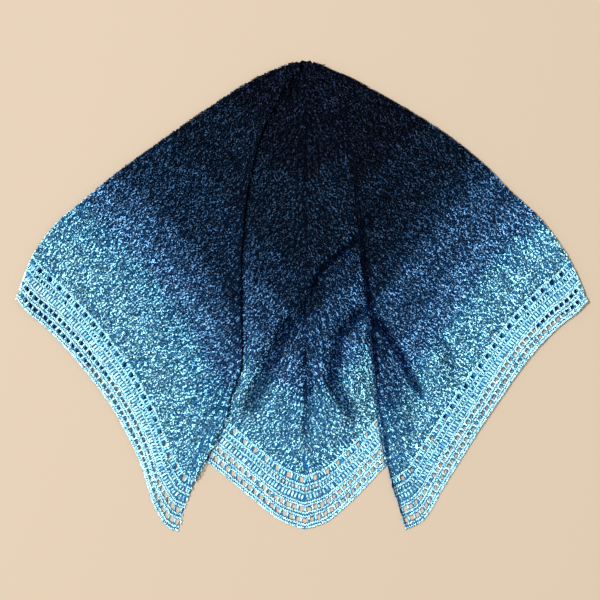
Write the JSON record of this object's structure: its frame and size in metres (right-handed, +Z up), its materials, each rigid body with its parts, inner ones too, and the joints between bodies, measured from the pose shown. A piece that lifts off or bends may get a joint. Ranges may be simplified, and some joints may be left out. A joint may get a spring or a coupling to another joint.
{
  "type": "crocheted triangular shawl",
  "caption": "Triangular crocheted shawl in a dark to light gradient with an openwork border, laid flat with both wings folded forward over its back.",
  "frame": {"origin": "centre of the laid shawl's outline, on the surface that it lies on", "axes": "+X across the shawl, from the corner of the left wing's fold to that of the right wing's; +Y up the spine, from the point of the back to the neck; +Z up, away from the surface"},
  "size_m": [0.9442, 0.7797, 0.0143],
  "materials": {
    "body_yarn": "matte gradient yarn, navy at the neck to mid blue, in close clusters",
    "border_yarn": "matte light blue yarn in openwork",
    "edging_yarn": "matte light blue yarn in a narrow close edging"
  },
  "bodies": {
    "root": {"back_body": "body_yarn", "back_border": "border_yarn", "back_edging": "edging_yarn", "left_wing_body": "body_yarn", "left_wing_border": "border_yarn", "left_wing_edging": "edging_yarn", "right_wing_body": "body_yarn", "right_wing_border": "border_yarn", "right_wing_edging": "edging_yarn"}
  },
  "joints": []
}
